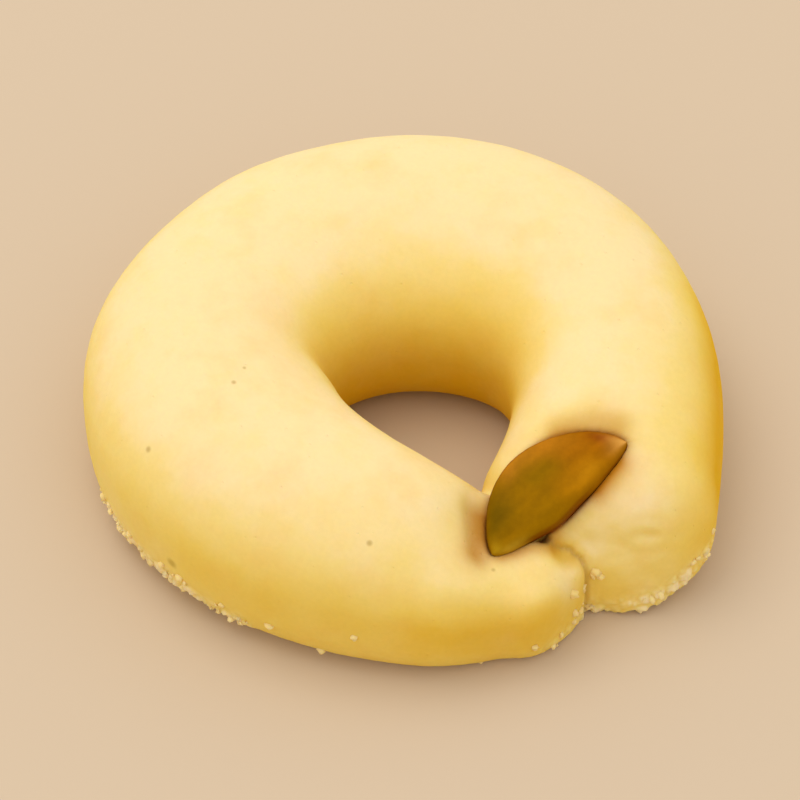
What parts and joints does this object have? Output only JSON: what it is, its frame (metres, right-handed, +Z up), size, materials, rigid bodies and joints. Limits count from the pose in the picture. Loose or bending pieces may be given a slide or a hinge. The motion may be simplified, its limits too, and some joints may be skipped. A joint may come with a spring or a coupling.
{
  "type": "ghriba ring biscuit",
  "caption": "Ring biscuit of pale shortbread dough: one tapering rope bent round a hole, its ends pressed together under half a pistachio kernel.",
  "frame": {"origin": "on the surface that the biscuit rests on, under the middle of its outline", "axes": "+Z up out of the flat base; +X to the right and -Y to the viewer, with the joint and the nut at the front right"},
  "size_m": [0.045, 0.0432, 0.0145],
  "materials": {
    "dough": "dry, floury, pale golden shortbread crumb",
    "nut": "satin olive and brown nut skin"
  },
  "bodies": {
    "root": {"dough_ring": "dough", "pistachio_half": "nut"}
  },
  "joints": []
}
